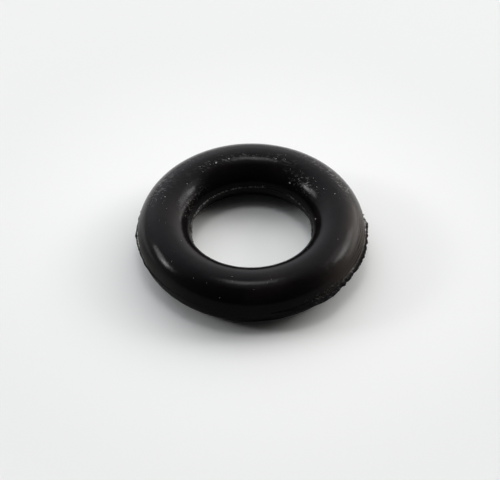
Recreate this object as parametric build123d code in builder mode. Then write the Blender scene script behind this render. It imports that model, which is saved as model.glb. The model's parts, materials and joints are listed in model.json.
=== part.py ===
from build123d import *
import math
import os

# An o-ring: one compression-moulded rubber ring of round section, with the thin flash that its
# mould left where the two halves met. Millimetres. The origin is the ring's centre, on the
# parting plane, and +Z is the ring's axis.

# Driving dimensions
inside_diameter = 7.0
section_diameter = 3.0
parting_land = 0.16  # width of the flat band round the bore and round the outside
witness_line = 0.015  # height of the ridge along the middle of each land, all the way round
flash_root = 0.06  # thickness of the ridge, and of the flash, where they leave the land
flash_tip = 0.02  # thickness of the flash at flash_run from the land
flash_run = 0.25
outer_bead = 0.13  # diameter of the lumps where the outer flash tore and rolled up
bore_bead = 0.09
bead_height = 0.10  # of both, along the ring's axis
bead_chamfer = 0.025

# Where flash is left on the ridge: the torn edge of each stretch, as angles from +X towards +Y
# and how far the edge stands out from the land. Between stretches the flash tore off clean.
right_flash = [
    (-50.5, 0.08), (-48, 0.20), (-46.5, 0.11), (-44, 0.18), (-41.5, 0.12), (-39.5, 0.20),
    (-37.5, 0.13), (-35.5, 0.18), (-31.5, 0.14), (-27, 0.20), (-21, 0.20), (-15, 0.19),
    (-9, 0.15), (-3, 0.14), (3, 0.15), (6.5, 0.13), (8.5, 0.04), (13, 0.05), (18, 0.03),
]
left_nub = [(159.5, 0.10), (161, 0.18), (162, 0.08)]
left_flash = [
    (166, 0.09), (168, 0.03), (171, 0.08), (174, 0.05), (179, 0.10), (184, 0.12), (189, 0.10),
    (196, 0.08), (204, 0.10), (212, 0.09), (220, 0.07), (228, 0.05), (235, 0.06),
]
bore_right_flash = [(-9, 0.04), (2, 0.06), (14, 0.05), (26, 0.04), (38, 0.05), (50, 0.03)]
bore_left_flash = [
    (79, 0.05), (90, 0.06), (102, 0.05), (113, 0.07), (119, 0.05), (121, 0.10), (125, 0.07),
    (136, 0.06), (144, 0.09), (154, 0.10), (163, 0.07), (171, 0.09), (180, 0.11), (189, 0.09),
    (198, 0.05),
]
torn_slope = 1.5  # degrees from the ridge to the first point of a stretch, and from the last

# The lumps on the torn edge, as their angles and how far out their centres are
outer_beads = [(-48, 0.14), (-39.5, 0.14), (-27, 0.14), (161, 0.13), (235, 0.04)]
bore_beads = [(80, 0.03), (121, 0.06)]

section_radius = section_diameter / 2
bore_radius = inside_diameter / 2
ring_radius = bore_radius + section_radius
outer_radius = ring_radius + section_radius


def at_angle(radius, degrees):
    turn = math.radians(degrees)
    return (radius * math.cos(turn), radius * math.sin(turn))


def torn_outline(land_radius, outwards, stretches):
    """The flash's edge all the way round: ragged along each stretch, the bare ridge between."""
    ridge_radius = land_radius + outwards * witness_line
    for stretch, next_stretch in zip(stretches, stretches[1:] + stretches[:1]):
        start = stretch[0][0] - torn_slope
        end = stretch[-1][0] + torn_slope
        next_start = next_stretch[0][0] - torn_slope
        ragged = [at_angle(land_radius + outwards * reach, angle) for angle, reach in stretch]
        Polyline(at_angle(ridge_radius, start), *ragged, at_angle(ridge_radius, end))
        CenterArc((0, 0), ridge_radius, end, (next_start - end) % 360)


def flash(land_radius, outwards, stretches):
    """Flash on the land of this radius: a disc that thins away from the ring (outwards 1) or
    towards its axis (outwards -1), trimmed to the torn outline."""
    tip_radius = land_radius + outwards * flash_run
    with BuildPart() as film:
        with BuildSketch(Plane.XZ):
            Polygon(
                (ring_radius, flash_root / 2),
                (land_radius, flash_root / 2),
                (tip_radius, flash_tip / 2),
                (tip_radius, -flash_tip / 2),
                (land_radius, -flash_root / 2),
                (ring_radius, -flash_root / 2),
                align=None,
            )
        revolve(axis=Axis.Z)
        with BuildSketch():
            with BuildLine():
                torn_outline(land_radius, outwards, stretches)
            make_face()
        trim = Mode.INTERSECT if outwards > 0 else Mode.SUBTRACT
        extrude(amount=flash_root, both=True, mode=trim)
    return film.part


def bead(diameter):
    with BuildPart() as lump:
        Cylinder(diameter / 2, bead_height)
        chamfer(lump.edges().filter_by(GeomType.CIRCLE), bead_chamfer)
    return lump.part


# The ring: a round section with its two sides cut flat by the lands
with BuildPart() as body:
    with BuildSketch(Plane.XZ):
        with BuildLine():
            ThreePointArc(
                (bore_radius, parting_land / 2),
                (ring_radius, section_radius),
                (outer_radius, parting_land / 2),
            )
            Line((outer_radius, parting_land / 2), (outer_radius, 0))
            Line((bore_radius, parting_land / 2), (bore_radius, 0))
            mirror(about=Plane.XZ)
        make_face()
    revolve(axis=Axis.Z)

outer_flash = flash(outer_radius, 1, [right_flash, left_nub, left_flash])
bore_flash = flash(bore_radius, -1, [bore_right_flash, bore_left_flash])

with BuildPart() as o_ring:
    add(body.part)
    add(outer_flash)
    add(bore_flash)
    for angle, out in outer_beads:
        with Locations(at_angle(outer_radius + out, angle)):
            add(bead(outer_bead))
    for angle, out in bore_beads:
        with Locations(at_angle(bore_radius - out, angle)):
            add(bead(bore_bead))
o_ring.part.label = "o_ring"

os.makedirs("parts", exist_ok=True)
export_step(o_ring.part, "parts/o_ring.step")
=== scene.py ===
import json
import math
import random

import bmesh
import bpy
from mathutils import Matrix, Vector, noise
from mathutils.bvhtree import BVHTree


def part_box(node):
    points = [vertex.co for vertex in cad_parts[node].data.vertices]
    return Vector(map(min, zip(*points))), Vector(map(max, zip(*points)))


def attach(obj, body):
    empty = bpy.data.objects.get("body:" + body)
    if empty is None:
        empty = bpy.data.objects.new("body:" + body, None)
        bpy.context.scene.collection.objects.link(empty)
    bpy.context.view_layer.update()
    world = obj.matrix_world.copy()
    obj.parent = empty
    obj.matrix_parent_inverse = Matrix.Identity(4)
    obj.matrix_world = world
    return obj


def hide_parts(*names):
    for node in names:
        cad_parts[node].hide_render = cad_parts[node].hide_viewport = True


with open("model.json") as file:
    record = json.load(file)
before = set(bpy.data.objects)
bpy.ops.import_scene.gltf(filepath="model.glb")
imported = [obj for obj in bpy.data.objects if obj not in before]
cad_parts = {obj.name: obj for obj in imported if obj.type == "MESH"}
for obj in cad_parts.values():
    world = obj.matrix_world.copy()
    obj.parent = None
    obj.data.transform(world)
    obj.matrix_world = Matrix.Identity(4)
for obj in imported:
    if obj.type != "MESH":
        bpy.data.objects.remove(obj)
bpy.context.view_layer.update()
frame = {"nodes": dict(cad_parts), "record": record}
scene = bpy.context.scene
mm = 0.001

# what the frame says about the ring, in metres
mounts = {mount["name"]: mount["dims"] for mount in frame["record"]["mounts"]}
boreRadius = mounts["bore"]["r_mm"] * mm
outsideRadius = mounts["outside"]["r_mm"] * mm
landHalf = mounts["bore"]["length_mm"] * mm / 2  # half of the flat band along the parting line
ringRadius = (outsideRadius + boreRadius) / 2
sectionRadius = (outsideRadius - boreRadius) / 2
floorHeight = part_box("o_ring")[0].z
print("ring", round(2 * boreRadius / mm, 2), "x", round(2 * sectionRadius / mm, 2), "mm")


def zeroToOne(value):
    return min(1, max(0, value))


def polar(radius, degrees, height=0.0):
    # a place round the ring's axis, from +X
    turn = math.radians(degrees)
    return Vector((radius * math.cos(turn), radius * math.sin(turn), height))


def onSkin(around, over, lift=0.0):
    # around the axis from +X, then over the section from the outside, 90 at the crown
    lean = math.radians(over)
    reach = sectionRadius + lift
    return polar(ringRadius + reach * math.cos(lean), around, reach * math.sin(lean))


def skinNormal(around, over):
    return (onSkin(around, over, sectionRadius) - onSkin(around, over)).normalized()


def newPiece(name, bm, material, sharpAngle=50):
    mesh = bpy.data.meshes.new(name)
    bm.to_mesh(mesh)
    bm.free()
    mesh.materials.append(material)
    mesh.polygons.foreach_set("use_smooth", [True] * len(mesh.polygons))
    mesh.set_sharp_from_angle(angle=math.radians(sharpAngle))
    piece = bpy.data.objects.new(name, mesh)
    scene.collection.objects.link(piece)
    return piece


def newMaterial(name):
    material = bpy.data.materials.new(name)
    material.use_nodes = True
    material.node_tree.nodes.clear()
    return material, material.node_tree


def put(tree, socket, value):
    if isinstance(value, bpy.types.NodeSocket):
        tree.links.new(value, socket)
    else:
        socket.default_value = value


def node(tree, kind, inputs=None, **settings):
    made = tree.nodes.new(kind)
    for key, value in settings.items():
        setattr(made, key, value)
    for key, value in (inputs or {}).items():
        put(tree, made.inputs[key], value)
    return made


def finishTree(tree, shader, kind="ShaderNodeOutputMaterial"):
    node(tree, kind, {"Surface": shader.outputs[0]})


def calc(tree, operation, first, second=0.0):
    return node(tree, "ShaderNodeMath", {0: first, 1: second}, operation=operation).outputs[0]


def scaled(tree, vector, factors):
    made = node(tree, "ShaderNodeVectorMath", {0: vector, 1: factors}, operation="MULTIPLY")
    return made.outputs[0]


def lengthOf(tree, vector):
    made = node(tree, "ShaderNodeVectorMath", {0: vector}, operation="LENGTH")
    return made.outputs["Value"]


def painted(tree, name):
    # a level that the mesh carries at its vertices
    return node(tree, "ShaderNodeAttribute", attribute_name=name).outputs["Fac"]


def bumped(tree, distance, height, under=None):
    inputs = {"Strength": 1.0, "Distance": distance, "Height": height}
    if under:
        inputs["Normal"] = under
    return node(tree, "ShaderNodeBump", inputs).outputs[0]


def band(tree, value, low, high, toLow=0.0, toHigh=1.0):
    inputs = {"Value": value, "From Min": low, "From Max": high, "To Min": toLow, "To Max": toHigh}
    made = node(tree, "ShaderNodeMapRange", inputs, interpolation_type="SMOOTHSTEP")
    return made.outputs["Result"]


def grain(tree, where, size, detail=2.0, roughness=0.5):
    inputs = {"Vector": where, "Scale": 1 / size, "Detail": detail, "Roughness": roughness}
    return node(tree, "ShaderNodeTexNoise", inputs).outputs["Fac"]


def blend(tree, share, first, second):
    # 6, 7 and 2 are the node's colour sockets
    return node(tree, "ShaderNodeMix", {0: share, 6: first, 7: second}, data_type="RGBA").outputs[2]


def ringPlaces(tree):
    # object coordinates, their axes, the unit vector away from the ring's axis,
    # the distance from it, and the angle over the section
    place = node(tree, "ShaderNodeTexCoord").outputs["Object"]
    axes = node(tree, "ShaderNodeSeparateXYZ", {0: place}).outputs
    flat = scaled(tree, place, (1, 1, 0))
    out = lengthOf(tree, flat)
    away = node(tree, "ShaderNodeVectorMath", {0: flat}, operation="NORMALIZE").outputs[0]
    lean = calc(tree, "ARCTAN2", axes["Z"], calc(tree, "SUBTRACT", out, ringRadius))
    return place, axes, away, out, lean


rubberLook = {
    "colour": (0.0044, 0.0037, 0.0042, 1),
    "browned": (0.0072, 0.0058, 0.0056, 1),
    "film": (0.106, 0.088, 0.073, 1),  # the brown film on the right shoulder: dust, and a painted sheen along the rim
    "greyFilmAndSheen": (0.094, 0.094, 0.084, 1),  # and the greyer one on the left, also dust and painted sheen
    "scuffsAndHighlight": (0.27, 0.265, 0.25, 1),  # and where it is scratched or caked, and one patch of painted highlight
    "torn": (0.50, 0.49, 0.46, 1),  # rubber whitened where the flash was pulled off, and a painted highlight along the flash's root and edge
    # each pattern's size, detail and roughness
    "patches": (1.9 * mm, 2.0, 0.5),
    "blotches": (0.5 * mm, 3.0, 0.6),
    "flecks": (0.13 * mm, 3.0, 0.65),
    "shreds": (0.11 * mm, 3.0, 0.6),
    "ripples": (0.50 * mm, 2.0, 0.45),
    "fine": (0.05 * mm, 2.0, 0.6),
    "fleckStretch": (0.5, 1.1, 1),
    # the levels of each pattern between which it comes in
    "brownedBand": (0.48, 0.75),
    "fleckBand": (0.53, 0.64),
    "blotchBand": (0.36, 0.54),
    "shredBand": (0.42, 0.60),
    "streakBand": (0.41, 0.59),
    "thickBand": (0.3, 0.8),  # from thin film to thick
    "betweenStreaks": (0.8, 0.15),  # how much film is left between the lines, thin and thick
    "specular": 0.13,
    "ior": 1.5,
    "smooth": 0.15,
    "rough": 0.21,
    "wearBand": (0.30, 0.70),
    "wearShare": 0.5,  # of the patches in it, and of the blotches
    "filmRoughness": 0.30,
    "flashRoughness": 0.85,
    "flashBand": (0.008 * mm, 0.03 * mm),  # how far off the land the flash's finish comes in
    "fineHeight": 0.00016 * mm,
    "rippleHeight": 0.010 * mm,
    "lineHeight": 0.0010 * mm,
    "lineGap": 0.062 * mm,
    "lineDrift": 0.9,  # how fast the lines change round the ring
    "cleanLines": 0.35,  # how much of their height they keep where there is no dust
}


def turnedLines(tree, look, away, lean):
    # lines left by the mould's turning, round the ring
    turned = scaled(tree, away, (look["lineDrift"],) * 3)
    climb = calc(tree, "MULTIPLY", lean, sectionRadius / look["lineGap"])
    raised = node(tree, "ShaderNodeCombineXYZ", {"Z": climb}).outputs[0]
    where = node(tree, "ShaderNodeVectorMath", {0: turned, 1: raised}, operation="ADD").outputs[0]
    return grain(tree, where, 1.0)


def makeRubber(look):
    material, tree = newMaterial("blackRubber")
    place, axes, away, out, lean = ringPlaces(tree)
    patches = grain(tree, place, *look["patches"])
    blotches = grain(tree, place, *look["blotches"])
    lines = turnedLines(tree, look, away, lean)
    dustAndSheen = painted(tree, "dustAndSheen")

    # black, browned in patches
    browned = band(tree, patches, *look["brownedBand"])
    colour = blend(tree, browned, look["colour"], look["browned"])

    # a film of dust and painted sheen, streaked along the lines, grey on the left and brown on the
    # right
    between = band(tree, dustAndSheen, *look["thickBand"], *look["betweenStreaks"])
    film = calc(tree, "MULTIPLY", dustAndSheen, band(tree, lines, *look["streakBand"], between, 1.0))
    across = band(tree, axes["X"], -ringRadius, ringRadius)
    colour = blend(tree, film, colour, blend(tree, across, look["greyFilmAndSheen"], look["film"]))

    # flecks in blotches, where it is scuffed, and in one patch a painted highlight
    drawn = scaled(tree, place, look["fleckStretch"])
    flecks = band(tree, grain(tree, drawn, *look["flecks"]), *look["fleckBand"])
    flecks = calc(tree, "MULTIPLY", flecks, band(tree, blotches, *look["blotchBand"]))
    scuffsAndHighlight = calc(tree, "MULTIPLY", painted(tree, "scuffsAndHighlight"), flecks)
    colour = blend(tree, scuffsAndHighlight, colour, look["scuffsAndHighlight"])

    # paler in shreds on the flash: rubber whitened where it was torn, and a painted highlight along
    # its root and edge
    shreds = band(tree, grain(tree, place, *look["shreds"]), *look["shredBand"])
    torn = calc(tree, "MULTIPLY", painted(tree, "torn"), shreds)
    colour = blend(tree, torn, colour, look["torn"])

    # rougher in patches, under the film and most of all on the flash
    wear = calc(tree, "ADD", calc(tree, "MULTIPLY", patches, look["wearShare"]),
        calc(tree, "MULTIPLY", blotches, look["wearShare"]))
    roughness = band(tree, wear, *look["wearBand"], look["smooth"], look["rough"])
    roughness = band(tree, dustAndSheen, 0, 1, roughness, look["filmRoughness"])
    offMiddle = calc(tree, "ABSOLUTE", calc(tree, "SUBTRACT", out, ringRadius))
    flash = band(tree, offMiddle, *[sectionRadius + off for off in look["flashBand"]])
    roughness = band(tree, flash, 0, 1, roughness, look["flashRoughness"])

    lined = calc(tree, "MULTIPLY", lines, band(tree, dustAndSheen, 0, 1, look["cleanLines"], 1.0))
    ripples = grain(tree, place, *look["ripples"])
    fine = grain(tree, place, *look["fine"])
    normal = bumped(tree, look["lineHeight"], lined)
    normal = bumped(tree, look["rippleHeight"], ripples, normal)
    normal = bumped(tree, look["fineHeight"], fine, normal)

    finishTree(tree, node(tree, "ShaderNodeBsdfPrincipled", {"Base Color": colour,
        "Roughness": roughness, "Specular IOR Level": look["specular"], "IOR": look["ior"],
        "Normal": normal}))
    return material


rubber = makeRubber(rubberLook)
print("rubber mixed")


ringShape = {
    "stepsRound": 960,
    "stepsOver": 26,  # from land to land, over the crown
    "rootHalf": 0.070 * mm,  # half the flash's thickness where it leaves the land
    "tipHalf": 0.014 * mm,  # and at its edge
    "fullRun": 0.25 * mm,  # how far out the rows start, before each is drawn in
    "shares": (0.14, 0.32, 0.58, 0.90, 1.0),  # how far along the flash each row lies
    "rowSlope": 0.6,  # how much lower the last row starts than the first
    "pastLand": 0.0005 * mm,  # further out than this, a vertex is the flash's
    "offLand": 1.01,  # higher than this many half lands, it is the round skin's
    "ridge": 0.015 * mm,  # the bare line where no flash is left
    "wornRidge": [(206, 306)],  # where it is nearly gone
    "wornRidgeLeft": 0.2,  # and what is left of it there
    "leastFlash": 1.2,  # the solid has flash where it stands off by this many ridges
    "leastHang": 0.1,
    # the flash's reach before it tears, as a share of the solid's, and how much more where that
    # is long: from this many mm, over so many mm
    "untorn": 1.22,
    "longExtra": 0.28,
    "longFrom": 0.10,
    "longOver": 0.04,
    "tearSize": 0.20 * mm,
    "tearFractal": (0.35, 2.0, 4),  # dimension, lacunarity and octaves
    "tearContrast": 0.9,
    "tearDepth": 0.36,  # the most that a tear takes of the flash
    "tornMost": (-7, 17, 0.20),  # where it is torn deeper: middle, spread in degrees, how much
    # where the flash wears down: from and to, round the axis, and its share of the reach at each
    "wornDown": [(4, 14, 1, 0), (14, 34, 0, 0), (156, 166, 0.5, 0.5), (205, 238, 1, 0)],
    "curlSize": 0.45 * mm,
    "curlFrom": (7, 3, 5),
    "curl": 0.03 * mm,
    # the wide film that hangs low on the right: middle, spread in degrees, reach, how low
    "hanging": (-52, 19, 0.31 * mm, -0.16 * mm),
    "hungWhole": 0.85,  # how much less it tears there
    "hungBend": 1.5,  # above 1, it bends more towards its edge
    "sag": 0.004 * mm,  # depth of the slow dips in the skin
    "sagSize": 1.7 * mm,
    "softEnds": 3,  # degrees over which a pale stretch comes in
    "fray": 7,  # how far round, in degrees, the pale stretches outside fray at their ends
    "fraySize": 0.25 * mm,
    # where the flash is pale, from rubber whitened where it was torn and from a painted highlight
    # along its root: from and to, round the axis, and how pale
    "paleOutside": [(-3, 25, 1.0), (-14, -3, 0.2), (-27, -14, 0.08), (-36, -28, 0.35),
        (166, 176, 0.7), (176, 191, 1.3), (191, 204, 0.25)],
    "paleFade": 1.9,  # how fast it darkens away from the land
    "paleTips": [(156, 167, 1.0), (167, 178, 0.5), (9, 25, 0.5)],  # where it is pale to its edge, a painted highlight on the flash's top
    # where the bore's flash is pale: a painted highlight along its edge
    "paleBore": [(76, 92, 0.22), (92, 99, 0.10), (99, 108, 0.24), (108, 126, 0.13),
        (126, 142, 0.35), (142, 150, 0.65), (150, 163, 0.45), (163, 215, 0.3), (0, 53, 0.15)],
    # around, over, how far it spreads each way in degrees, how strong
    # the film of dust and painted sheen on the rims
    "dustAndSheen": [(-8, 20, 18, 34, 1.0), (-26, 16, 19, 32, 0.5), (192, 2, 22, 16, 0.8),
        (212, 8, 20, 26, 0.27)],
    # the patch at 5 round and 0 over, on the right flash's root, is a painted highlight
    "scuffsAndHighlight": [(42, 60, 13, 17, 0.75), (26, 56, 10, 14, 1.0), (18, 20, 12, 16, 0.7),
        (5, 0, 9, 9, 1.0), (-50, 3, 10, 10, 0.45), (156, 58, 12, 20, 0.6),
        (158, 140, 17, 16, 0.25), (42, 130, 13, 13, 0.7), (108, 104, 26, 9, 0.3),
        (72, 104, 14, 9, 0.35), (125, 60, 18, 16, 0.3)],
    "cleanBelow": -10,  # degrees over the section, under which no dust film and sheen and no scuff is painted
    "filmOnFlash": (0.8, 2.4),  # the film's share at the flash's root, and how fast it fades
}

cadMesh = frame["nodes"]["o_ring"].data
cadTree = BVHTree.FromPolygons([v.co for v in cadMesh.vertices],
    [p.vertices for p in cadMesh.polygons])


def flashReach(direction, outer):
    # how far the solid stands off its land in this direction, in the parting plane
    start = direction * outsideRadius * 1.2 if outer else Vector((0, 0, 0))
    hit = cadTree.ray_cast(start, -direction if outer else direction)[0]
    return hit.length - outsideRadius if outer else boreRadius - hit.length


def turnFrom(around, other):
    return abs((around - other + 180) % 360 - 180)


def bell(around, middle, wide):
    return math.exp(-(turnFrom(around, middle) / wide) ** 2)


def stretchLevel(around, stretches, soft):
    level = 0
    for first, last, strong in stretches:
        off = turnFrom(around, (first + last) / 2)
        level = max(level, strong * zeroToOne(((last - first) / 2 + soft / 2 - off) / soft))
    return level


def leftOf(around, rows):
    # how much of the flash is left where it wears down
    turn = around % 360
    for first, last, start, end in rows:
        if first <= turn < last:
            return start + (end - start) * (turn - first) / (last - first)
    return 1


def spread(around, over, patches):
    level = 0
    for patchAround, patchOver, wide, tall, strong in patches:
        off = (turnFrom(around, patchAround) / wide) ** 2 + ((over - patchOver) / tall) ** 2
        level = max(level, strong * math.exp(-off))
    return level


def spinRing(bm, shape):
    # the upper half of the section with its rows of flash, mirrored and spun round the axis
    centre = -landHalf ** 2 / (2 * (sectionRadius - landHalf))  # of the arc over the crown
    lean = math.atan2(landHalf - centre, sectionRadius)
    start = bm.verts.new((outsideRadius, 0, landHalf))
    bmesh.ops.spin(bm, geom=[start], cent=(ringRadius, 0, centre), axis=(0, -1, 0),
        angle=math.pi - 2 * lean, steps=shape["stepsOver"])
    for last in [v for v in bm.verts if abs(v.co.z - landHalf) < 0.001 * mm]:
        side = 1 if last.co.x > ringRadius else -1
        land = last.co.x
        for share in (0,) + shape["shares"]:
            # these heights only tell the two faces apart, until the flash is dressed
            height = 0 if share == 1 else shape["rootHalf"] * (1 - shape["rowSlope"] * share)
            last = bmesh.ops.extrude_vert_indiv(bm, verts=[last])["verts"][0]
            last.co = (land + side * share * shape["fullRun"], 0, height)
    bmesh.ops.mirror(bm, geom=bm.verts[:] + bm.edges[:], matrix=Matrix.Identity(4),
        merge_dist=1e-8, axis="Z")
    bmesh.ops.remove_doubles(bm, verts=bm.verts, dist=1e-8)
    bmesh.ops.spin(bm, geom=bm.verts[:] + bm.edges[:], cent=(0, 0, 0), axis=(0, 0, 1),
        angle=2 * math.pi, steps=shape["stepsRound"], use_merge=True)
    bmesh.ops.recalc_face_normals(bm, faces=bm.faces)


def makeRing(shape):
    bm = bmesh.new()
    torn = bm.verts.layers.float.new("torn")
    dustAndSheen = bm.verts.layers.float.new("dustAndSheen")
    scuffsAndHighlight = bm.verts.layers.float.new("scuffsAndHighlight")
    spinRing(bm, shape)
    filmAtRoot, filmFade = shape["filmOnFlash"]
    for v in bm.verts:
        flat = Vector((v.co.x, v.co.y, 0))
        direction = flat.normalized()
        around = math.degrees(math.atan2(flat.y, flat.x))
        over = math.degrees(math.atan2(v.co.z, flat.length - ringRadius))
        outer = flat.length > ringRadius
        run = flat.length - outsideRadius if outer else boreRadius - flat.length
        share = max(0, run / shape["fullRun"])
        if over > shape["cleanBelow"]:
            v[dustAndSheen] = spread(around, over, shape["dustAndSheen"])
            v[scuffsAndHighlight] = spread(around, over, shape["scuffsAndHighlight"])
        if run > shape["pastLand"]:
            dressFlash(v, direction, around, outer, share, shape)
            v[dustAndSheen] *= max(0, filmAtRoot - filmFade * share)
        if abs(v.co.z) > landHalf * shape["offLand"]:
            dip = 0.5 + 0.5 * noise.noise(v.co / shape["sagSize"])
            v.co += (direction * ringRadius - v.co).normalized() * dip * shape["sag"]
        elif outer:
            # pale root and edge of the outer flash: torn rubber and a painted highlight
            frayed = around + shape["fray"] * noise.noise(v.co / shape["fraySize"])
            root = stretchLevel(frayed, shape["paleOutside"], shape["softEnds"])
            root *= max(0, 1 - shape["paleFade"] * share)
            v[torn] = max(root, stretchLevel(frayed, shape["paleTips"], shape["softEnds"]))
        elif share:
            # a painted highlight along the bore's flash
            v[torn] = stretchLevel(around, shape["paleBore"], shape["softEnds"])
    return bm


def tornReach(direction, around, outer, hang, shape):
    reach = flashReach(direction, outer)
    land = outsideRadius if outer else boreRadius
    if reach > shape["ridge"] * shape["leastFlash"] or hang > shape["leastHang"]:
        tear = noise.fractal(direction * land / shape["tearSize"], *shape["tearFractal"])
        middle, wide, deeper = shape["tornMost"]
        depth = shape["tearDepth"]
        untorn = (reach / mm - shape["longFrom"]) / shape["longOver"]
        untorn = shape["untorn"] + shape["longExtra"] * zeroToOne(untorn)
        if outer:
            depth += deeper * bell(around, middle, wide)
            untorn *= leftOf(around, shape["wornDown"])
        bite = zeroToOne(0.5 + shape["tearContrast"] * tear) * depth
        bite *= 1 - shape["hungWhole"] * hang
        hungReach = shape["hanging"][2] * hang * (1 - bite)
        return max(shape["ridge"], reach * (untorn - bite), hungReach)
    if outer and any(first < around % 360 < last for first, last in shape["wornRidge"]):
        return shape["ridge"] * shape["wornRidgeLeft"]
    return reach


def dressFlash(v, direction, around, outer, share, shape):
    middle, wide, _, drop = shape["hanging"]
    hang = bell(around, middle, wide) if outer else 0
    reach = tornReach(direction, around, outer, hang, shape)
    land = outsideRadius if outer else boreRadius
    run = reach * share
    half = shape["tipHalf"] + (shape["rootHalf"] - shape["tipHalf"]) * (1 - share) ** 2
    curl = noise.noise(direction * land / shape["curlSize"] + Vector(shape["curlFrom"]))
    lift = shape["curl"] * curl * share ** 2 * reach / shape["fullRun"]
    lift += drop * hang * share ** shape["hungBend"]
    side = 0 if share > 0.999 else math.copysign(1, v.co.z)
    v.co = direction * (land + run if outer else land - run)
    v.co.z = side * half + lift


oRing = newPiece("oRing", makeRing(ringShape), rubber)
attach(oRing, "root")
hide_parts("o_ring")
print("ring", len(oRing.data.polygons), "faces")


crumbs = {
    # around the axis, how far off the land, how high, size, how pale: torn rubber and a painted
    # highlight on the flash
    "outer": [(-57.5, 0.10, 0, 0.05, 0.1), (-52.5, 0.17, 0, 0.06, 0), (-48.0, 0.20, 0, 0.06, 0.2),
        (-44.0, 0.11, 0, 0.05, 0.1), (-40.5, 0.16, 0, 0.06, 0), (-35.6, 0.08, 0, 0.05, 0.8),
        (-31.0, 0.07, 0, 0.05, 0.9), (-27.5, 0.09, 0, 0.05, 0.7), (-3.5, 0.03, 0.04, 0.05, 0.7),
        (1.5, 0.03, 0.05, 0.06, 1.4), (4.6, 0.03, 0.06, 0.06, 1.4), (7.2, 0.04, 0.05, 0.09, 2.0),
        (9.6, 0.03, 0.06, 0.10, 2.0), (12.4, 0.02, 0.06, 0.07, 2.0), (14.8, 0.02, 0.05, 0.06, 1.4),
        (161.2, 0.05, 0, 0.05, 1.0), (163.0, 0.04, 0, 0.05, 1.0), (159.6, 0.03, 0, 0.05, 1.0)],
    "bore": [(80.0, 0.02, 0, 0.06, 0.4), (121.0, 0.05, 0, 0.06, 0.3), (145.0, 0.05, 0, 0.05, 0.7),
        (153.5, 0.05, 0, 0.05, 0.7)],
    "rough": 0.35,  # how uneven they are
    "seed": 5,
}


lumpShape = {
    "widths": (0.8, 1.25),  # narrowest and widest, as a share of its size
    "bumps": 2.2,  # how many across it
    "bumpHeight": 1.6,
    "seeds": (0, 99),
}


def lump(bm, centre, size, draw, rough, subdivisions=2, squash=1.0, upright=Vector((0, 0, 1))):
    # a small uneven ball, wider one way than the other
    widths, bumps, seeds = lumpShape["widths"], lumpShape["bumps"], lumpShape["seeds"]
    turn = upright.to_track_quat("Z", "Y").to_matrix().to_4x4()
    spin = Matrix.Rotation(draw.uniform(0, 2 * math.pi), 4, "Z")
    stretch = Matrix.Diagonal((draw.uniform(*widths), draw.uniform(*widths), squash, 1))
    shape = bmesh.ops.create_icosphere(bm, subdivisions=subdivisions, radius=size / 2)["verts"]
    seed = Vector((draw.uniform(*seeds), draw.uniform(*seeds), draw.uniform(*seeds)))
    for v in shape:
        bump = noise.noise(v.co / size * bumps + seed)
        v.co *= 1 + rough * bump * lumpShape["bumpHeight"]
    bmesh.ops.transform(bm, matrix=Matrix.Translation(centre) @ turn @ spin @ stretch, verts=shape)
    return shape


def makeCrumbs(look):
    draw = random.Random(look["seed"])
    bm = bmesh.new()
    # how pale each crumb is: torn rubber, and a painted highlight on the flash
    torn = bm.verts.layers.float.new("torn")
    for land, side, rows in (outsideRadius, 1, look["outer"]), (boreRadius, -1, look["bore"]):
        for around, off, up, size, pale in rows:
            centre = polar(land + side * off * mm, around, up * mm)
            for v in lump(bm, centre, size * mm, draw, look["rough"]):
                v[torn] = pale
    return bm


flashCrumbs = newPiece("flashCrumbs", makeCrumbs(crumbs), rubber, 60)
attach(flashCrumbs, "root")


dustLook = {
    "colour": (0.62, 0.61, 0.58, 1),
    "shade": (0.32, 0.31, 0.29, 1),
    "shadeSize": 0.05 * mm,
    "shadeBand": (0.35, 0.65),
    "roughness": 0.9,
    "specular": 0.2,
    # around, over, size in mm: the specks that are big enough to pick out
    "specks": [(116.4, 108.3, 0.075), (106.1, 107.3, 0.060), (71.3, 106.5, 0.046),
        (66.0, 88.6, 0.045), (138.7, 81.7, 0.040), (165.9, 87.7, 0.050), (37.8, 57.8, 0.045),
        (23.7, 107.1, 0.040), (15.8, 90.9, 0.045), (19.2, 56.3, 0.045), (-24.6, 77.4, 0.036),
        (-106.4, 33.5, 0.028), (-23.8, -3.0, 0.045), (52.9, 147.6, 0.075), (2.1, 151.6, 0.085),
        (78.5, 176.0, 0.050), (128.5, 100.9, 0.040), (129.2, 114.9, 0.035), (164.1, 46.8, 0.040),
        (146.8, 114.1, 0.035), (28.9, 116.8, 0.035), (36.5, 128.1, 0.035)],
    # how many fine specks, then from and to around, and from and to over, where each lot lies
    "drifts": [(20, 132, 176, 118, 168), (20, 150, 172, 40, 90), (50, 14, 62, 5, 60),
        (60, 160, 204, 152, 184), (24, -14, 22, 2, 40), (12, 22, 50, 105, 145),
        (8, 60, 130, 90, 115), (40, 0, 360, 50, 130)],
    "fine": (0.014, 0.032),  # smallest and largest of them, in mm
    "flatness": 0.55,
    "rough": 0.4,
    "seed": 11,
    "lifted": 0.15,  # how far a speck's middle stands off the skin, as a share of its size
}


def dropSpeck(bm, around, over, size, draw, look, subdivisions):
    place = onSkin(around, over, size * look["lifted"] * mm)
    lump(bm, place, size * mm, draw, look["rough"], subdivisions, look["flatness"],
        skinNormal(around, over))


def makeDust(look):
    draw = random.Random(look["seed"])
    bm = bmesh.new()
    for around, over, size in look["specks"]:
        dropSpeck(bm, around, over, size, draw, look, 2)
    for count, aroundFrom, aroundTo, overFrom, overTo in look["drifts"]:
        for _ in range(count):
            around = draw.uniform(aroundFrom, aroundTo)
            over = draw.uniform(overFrom, overTo)
            dropSpeck(bm, around, over, draw.uniform(*look["fine"]), draw, look, 1)
    return bm


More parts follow.
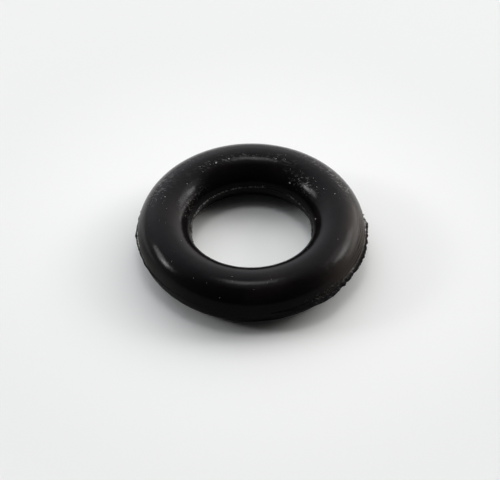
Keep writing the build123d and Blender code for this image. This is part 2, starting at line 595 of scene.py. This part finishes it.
def makeDustMaterial(look):
    material, tree = newMaterial("paleDust")
    place = node(tree, "ShaderNodeTexCoord").outputs["Object"]
    share = band(tree, grain(tree, place, look["shadeSize"]), *look["shadeBand"])
    colour = blend(tree, share, look["shade"], look["colour"])
    finishTree(tree, node(tree, "ShaderNodeBsdfPrincipled", {"Base Color": colour,
        "Roughness": look["roughness"], "Specular IOR Level": look["specular"]}))
    return material


dust = newPiece("settledDust", makeDust(dustLook), makeDustMaterial(dustLook), 60)
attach(dust, "root")
print("crumbs and dust", len(flashCrumbs.data.polygons), len(dust.data.polygons), "faces")


floorLook = {
    "size": 3.0,
    # the colour that the camera sees in the bore, beside the ring and far from it: painted light,
    # paler in the bore and beside the ring where its shade falls
    "seenIn": (0.98, 1.0, 0.98, 1),
    "seenNear": (0.900, 0.914, 0.898, 1),
    "seenFar": (0.825, 0.842, 0.825, 1),
    "farFrom": 3,  # times the ring's outside radius
    "felt": (0.94, 0.94, 0.93, 1),  # the colour that lights the ring from behind
    "feltFront": (0.25, 0.25, 0.25, 1),  # and from in front and inside it, darker: painted shade on the floor there
}


def makeFloor(look):
    material, tree = newMaterial("palePaper")
    place = node(tree, "ShaderNodeTexCoord").outputs["Object"]
    depth = node(tree, "ShaderNodeSeparateXYZ", {0: place}).outputs["Y"]
    # painted shade: the floor gives the ring less light from in front and from the bore
    felt = blend(tree, band(tree, depth, 0, outsideRadius), look["feltFront"], look["felt"])
    out = lengthOf(tree, place)
    # painted light: paler in the bore and beside the ring, to lift the ring's shade there
    near = band(tree, out, boreRadius, outsideRadius)
    far = band(tree, out, outsideRadius, outsideRadius * look["farFrom"])
    shown = blend(tree, near, look["seenIn"], look["seenNear"])
    shown = blend(tree, far, shown, look["seenFar"])
    seen = node(tree, "ShaderNodeLightPath").outputs["Is Camera Ray"]
    colour = blend(tree, seen, felt, shown)
    finishTree(tree, node(tree, "ShaderNodeBsdfDiffuse", {"Color": colour}))
    bm = bmesh.new()
    bmesh.ops.create_grid(bm, x_segments=1, y_segments=1, size=look["size"] / 2)
    bmesh.ops.translate(bm, verts=bm.verts, vec=(0, 0, floorHeight))
    floor = newPiece("floor", bm, material)


makeFloor(floorLook)
print("floor laid")

studio = {
    "distance": 0.30,
    # azimuth from +Y towards +X, elevation, width and height seen from the ring, in degrees; watts
    "lamps": {
        "leftLamp": (-81, 26.5, 22, 13, 0.150),
        "leftCore": (-88, 25.5, 8, 6, 0.060),
        "rightLamp": (67, 28, 26, 18, 0.130),
        "rightCore": (77, 30, 14, 13, 0.086),
        "rightLow": (60, 7, 40, 12, 0.058),
        "rightHigh": (69, 43.5, 18, 14, 0.026),
        "overhead": (-8, 84, 17, 12, 0.096),
        "fill": (0, 56, 90, 30, 0.33),
    },
    "unreflected": ["fill"],  # it lights the floor, and the rubber doesn't mirror it
    # the white walls round the ring: how bright, and the directions that each one fills
    "walls": {
        "back": (0.68, [("Y", -0.3, 1.0)]),
        "backLow": (0.65, [("Y", 0.2, 1.0), ("Z", 0, 0.3)]),
        "backHigh": (0.18, [("Y", 0, 0.4), ("Z", 0.6, 0.8), ("Z", 1.0, 0.9)]),
        "right": (1.15, [("X", 0, 1.0), ("Y", -0.3, 0.5)]),
        "leftHigh": (0.32, [("X", -0.2, -0.7), ("Z", 0.3, 0.6), ("Y", -0.4, 0.1)]),
        "top": (0.48, [("Z", 0.92, 1.0)]),
    },
    "allRound": 0.02,
    "tintBand": (-0.4, 0.6),  # from left to right
    "cool": (0.972, 0.985, 1.065, 1),  # the walls on the left
    "warm": (1.03, 0.99, 0.96, 1),  # and on the right
    "seen": 0.92,  # how bright the white is that the camera sees
}


def lampPlace(azimuth, elevation, distance):
    turn = math.radians(azimuth)
    rise = math.radians(elevation)
    level = math.cos(rise)
    return Vector((math.sin(turn) * level, math.cos(turn) * level, math.sin(rise))) * distance


def widthOf(degrees, distance):
    return 2 * distance * math.tan(math.radians(degrees / 2))


def makeLamps(look):
    for name, (azimuth, elevation, width, height, watts) in look["lamps"].items():
        data = bpy.data.lights.new(name, "AREA")
        data.shape = "RECTANGLE"
        data.size = widthOf(width, look["distance"])
        data.size_y = widthOf(height, look["distance"])
        data.energy = watts
        lamp = bpy.data.objects.new(name, data)
        lamp.location = lampPlace(azimuth, elevation, look["distance"])
        lamp.visible_glossy = name not in look["unreflected"]
        lamp.rotation_euler = (-lamp.location).to_track_quat("-Z", "Y").to_euler()
        scene.collection.objects.link(lamp)


def makeWorld(look):
    world = bpy.data.worlds.new("studio")
    world.use_nodes = True
    tree = world.node_tree
    tree.nodes.clear()
    direction = node(tree, "ShaderNodeTexCoord").outputs["Generated"]
    axes = node(tree, "ShaderNodeSeparateXYZ", {0: direction}).outputs
    level = look["allRound"]
    for strength, spans in look["walls"].values():
        wall = strength
        for axis, start, full in spans:
            wall = calc(tree, "MULTIPLY", wall, band(tree, axes[axis], start, full))
        level = calc(tree, "ADD", level, wall)
    seen = node(tree, "ShaderNodeLightPath").outputs["Is Camera Ray"]
    level = band(tree, seen, 0, 1, level, look["seen"])
    tint = blend(tree, band(tree, axes["X"], *look["tintBand"]), look["cool"], look["warm"])
    colour = blend(tree, seen, tint, (1, 1, 1, 1))
    back = node(tree, "ShaderNodeBackground", {"Color": colour, "Strength": level})
    finishTree(tree, back, "ShaderNodeOutputWorld")
    scene.world = world


makeLamps(studio)
makeWorld(studio)

view = {
    "place": (0, -87.32 * mm, 89.81 * mm),
    "aim": (-0.08 * mm, -0.80 * mm, 0),
    "roll": 0.53,
    "lens": 157.7,
    "sensor": 36,
    "nearest": 0.005,
}


def makeCamera(look):
    data = bpy.data.cameras.new("camera")
    data.lens = look["lens"]
    data.sensor_width = look["sensor"]
    data.clip_start = look["nearest"]
    camera = bpy.data.objects.new("camera", data)
    camera.location = look["place"]
    sight = Vector(look["aim"]) - camera.location
    roll = Matrix.Rotation(math.radians(look["roll"]), 3, sight.normalized())
    camera.rotation_euler = (roll @ sight.to_track_quat("-Z", "Y").to_matrix()).to_euler()
    scene.collection.objects.link(camera)
    scene.camera = camera


makeCamera(view)
scene.view_settings.view_transform = "Standard"
print("studio set")
